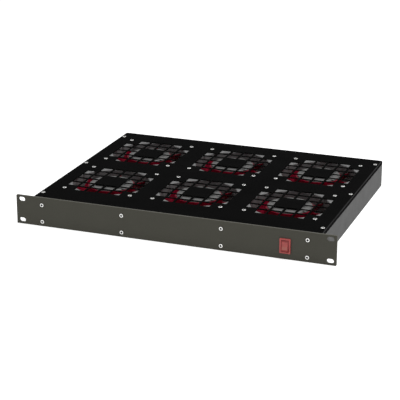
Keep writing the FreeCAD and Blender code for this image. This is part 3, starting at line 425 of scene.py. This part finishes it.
def head_rings(radius, height, shank):
    """A (radius, level) for each spoke of each ring, from the seat over the rim into the recess."""
    pit = RECESS_PIT * radius
    reach = RECESS_REACH * radius
    arm = RECESS_ARM * radius
    rings = [[(share * radius, level * height)] * HEAD_SPOKES for share, level in HEAD_RIM]
    mouth = []
    for k in range(HEAD_SPOKES):
        turn = 2 * math.pi * k / HEAD_SPOKES
        slim = max(1e-6, min(abs(math.cos(turn)), abs(math.sin(turn))))
        mouth.append(max(pit, min(reach, arm / slim)))
    rings.append([(r, height) for r in mouth])
    rings.append([(RECESS_TAPER * min(r, shank), RECESS_FLOOR * height) for r in mouth])
    return rings


def low_screws(node, radius, height, second, level_of, lay):
    """Screws with low recessed heads in the place of a CAD group, on shanks like its own.

    The places lie in the plane of X and the second axis, level_of gives a point's height over
    the heads' seat, and lay puts a point of a screw into the model.
    """
    points = [corner.co for corner in frame["nodes"][node].data.vertices]
    places = screw_places(points, second)
    below = [point for point in points if level_of(point) < SHANK_START]
    tip = min(level_of(point) for point in below)
    shank = max(min(math.dist(at, (point[0], point[second])) for at in places) for point in below)
    rings = [[(shank, tip)] * HEAD_SPOKES, [(shank, 0.0)] * HEAD_SPOKES]
    rings += head_rings(radius, height, shank)
    corners, faces = [], []
    for place in places:
        start = len(corners)
        for ring in rings:
            for k, (r, level) in enumerate(ring):
                turn = 2 * math.pi * k / HEAD_SPOKES
                corners.append(lay(place, r * math.cos(turn), r * math.sin(turn), level))
        corners.append(lay(place, 0.0, 0.0, RECESS_POINT * height))
        corners.append(lay(place, 0.0, 0.0, tip))
        for row in range(len(rings) - 1):
            for k in range(HEAD_SPOKES):
                near = start + row * HEAD_SPOKES
                far = near + HEAD_SPOKES
                after = (k + 1) % HEAD_SPOKES
                faces.append((near + k, near + after, far + after, far + k))
        last = start + (len(rings) - 1) * HEAD_SPOKES
        for k in range(HEAD_SPOKES):
            after = (k + 1) % HEAD_SPOKES
            faces.append((last + k, last + after, len(corners) - 2))
            faces.append((start + after, start + k, len(corners) - 1))
    mesh = bpy.data.meshes.new(node + "_low")
    mesh.from_pydata(corners, [], faces)
    mesh.shade_smooth()
    mesh.set_sharp_from_angle(angle=math.radians(SHARP_ANGLE))
    mesh.materials.append(frame["nodes"][node].material_slots[0].material)
    piece = bpy.data.objects.new(node + "_low", mesh)
    bpy.context.scene.collection.objects.link(piece)
    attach(piece, "chassis")
    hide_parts(node)


def screws():
    """The screws on the cover and on the panel, with heads as low and small as the real ones."""
    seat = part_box("top_cover")[1][2]
    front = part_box("front_panel")[0][1]

    def upward(place, x, y, level):
        return (place[0] + x, place[1] + y, seat + level)

    def forward(place, x, z, level):
        return (place[0] + x, front - level, place[1] + z)

    def above(point):
        return point[2] - seat

    def ahead(point):
        return front - point[1]

    low_screws("fan_screws", *COVER_HEAD, 1, above, upward)
    low_screws("cover_screws", *COVER_HEAD, 1, above, upward)
    low_screws("panel_screws", *PANEL_HEAD, 2, ahead, forward)


def seen_by_camera(tree):
    """1 for rays that show the background: straight from the camera, in gloss or through glass."""
    path = tree.nodes.new("ShaderNodeLightPath")
    seen = path.outputs["Is Camera Ray"]
    for name in ("Is Glossy Ray", "Is Transmission Ray"):
        either = tree.nodes.new("ShaderNodeMath")
        either.operation = "MAXIMUM"
        tree.links.new(seen, either.inputs[0])
        tree.links.new(path.outputs[name], either.inputs[1])
        seen = either.outputs[0]
    return seen


def white_world():
    """White to look at, and a plain even level of light on the object."""
    world = bpy.data.worlds.new("studio")
    bpy.context.scene.world = world
    world.use_nodes = True
    tree = world.node_tree
    background = tree.nodes["Background"]
    background.inputs["Color"].default_value = (1.0, 1.0, 1.0, 1.0)
    level = tree.nodes.new("ShaderNodeMapRange")
    level.inputs["To Min"].default_value = WORLD_LEVEL
    level.inputs["To Max"].default_value = 1.0
    tree.links.new(seen_by_camera(tree), level.inputs["Value"])
    tree.links.new(level.outputs["Result"], background.inputs["Strength"])


def white_floor():
    """Large bright floor under the tray, which still takes its soft shadow."""
    turns = ((-1, -1), (1, -1), (1, 1), (-1, 1))
    corners = [(x * FLOOR_HALF, y * FLOOR_HALF, CAD_BOX[0].z) for x, y in turns]
    mesh = bpy.data.meshes.new("floor")
    mesh.from_pydata(corners, [], [(0, 1, 2, 3)])
    floor = bpy.data.objects.new("floor", mesh)
    bpy.context.scene.collection.objects.link(floor)
    material = bpy.data.materials.new("floor_white")
    material.use_nodes = True
    tree = material.node_tree
    paint = tree.nodes["Principled BSDF"]
    paint.inputs["Base Color"].default_value = FLOOR_COLOUR
    paint.inputs["Roughness"].default_value = FLOOR_ROUGHNESS
    paint.inputs["Specular IOR Level"].default_value = 0.0
    glow = tree.nodes.new("ShaderNodeEmission")
    share = tree.nodes.new("ShaderNodeMath")
    share.operation = "MULTIPLY"
    share.inputs[1].default_value = FLOOR_GLOW
    tree.links.new(seen_by_camera(tree), share.inputs[0])
    tree.links.new(share.outputs[0], glow.inputs["Strength"])
    both = tree.nodes.new("ShaderNodeAddShader")
    tree.links.new(paint.outputs[0], both.inputs[0])
    tree.links.new(glow.outputs[0], both.inputs[1])
    tree.links.new(both.outputs[0], tree.nodes["Material Output"].inputs["Surface"])
    mesh.materials.append(material)


def direction(azimuth, elevation):
    """Unit vector from the tray: azimuth 0 is the front, 90 the right."""
    around = math.radians(azimuth)
    up = math.radians(elevation)
    return Vector((math.sin(around) * math.cos(up), -math.cos(around) * math.cos(up), math.sin(up)))


def soft_lamp(name, azimuth, elevation, distance, size, power):
    """Square area lamp that faces the middle of the tray."""
    data = bpy.data.lights.new(name, "AREA")
    data.size = size
    data.energy = power
    lamp = bpy.data.objects.new(name, data)
    away = direction(azimuth, elevation)
    lamp.location = CAMERA_TARGET + away * distance
    lamp.rotation_mode = "QUATERNION"
    lamp.rotation_quaternion = away.to_track_quat("Z", "Y")
    bpy.context.scene.collection.objects.link(lamp)


def camera():
    """Camera at the photograph's viewing angle."""
    data = bpy.data.cameras.new("camera")
    data.lens = CAMERA_LENS
    data.shift_x, data.shift_y = CAMERA_SHIFT
    made = bpy.data.objects.new("camera", data)
    away = direction(CAMERA_AZIMUTH, CAMERA_ELEVATION)
    made.location = CAMERA_TARGET + away * CAMERA_DISTANCE
    made.rotation_mode = "QUATERNION"
    roll = Quaternion((0.0, 0.0, 1.0), math.radians(CAMERA_ROLL))
    made.rotation_quaternion = away.to_track_quat("Z", "Y") @ roll
    bpy.context.scene.collection.objects.link(made)
    bpy.context.scene.camera = made


bpy.context.scene.view_settings.view_transform = "Standard"
dress(finishes())
screws()
white_world()
white_floor()
soft_lamp("key", *KEY_LAMP)
soft_lamp("fill", *FILL_LAMP)
camera()
